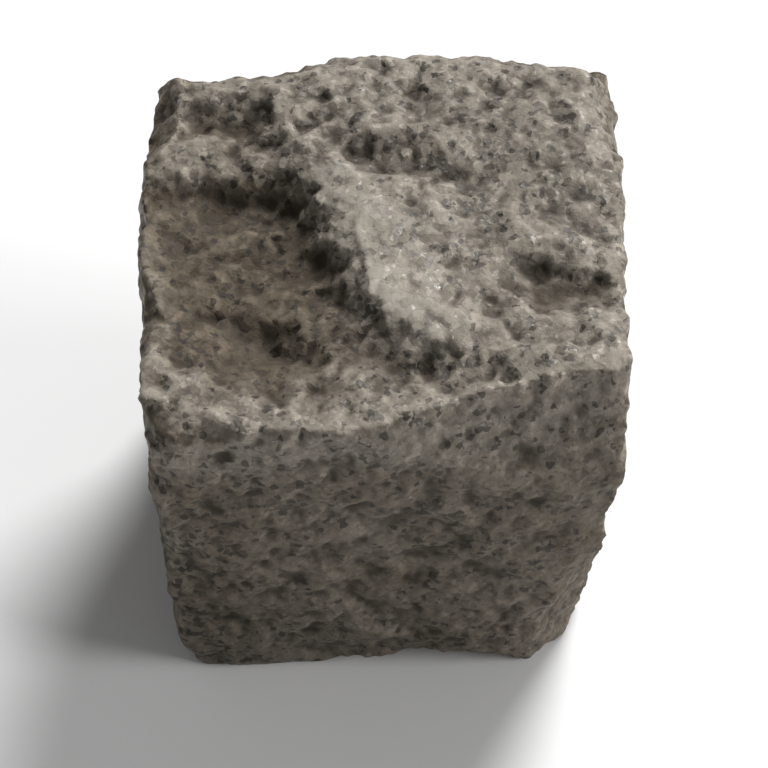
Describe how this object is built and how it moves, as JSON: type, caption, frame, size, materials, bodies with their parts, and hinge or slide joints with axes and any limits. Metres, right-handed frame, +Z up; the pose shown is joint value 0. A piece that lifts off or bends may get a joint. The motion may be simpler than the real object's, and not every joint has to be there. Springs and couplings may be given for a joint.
{
  "type": "cobblestone",
  "caption": "Hand-split granite paving sett: a rough cube with a riven head, chipped arrises and sides that lean in to a flat foot, laid in rows to pave a street.",
  "frame": {"origin": "middle of the stone's footprint, on the flat of the foot", "axes": "+Z up from the foot to the head, +X along the head, +Y across the head away from the viewer of the picture"},
  "size_m": [0.1004, 0.101, 0.1005],
  "materials": {
    "granite": "matte"
  },
  "bodies": {
    "root": {"cobblestone": "granite"}
  },
  "joints": []
}
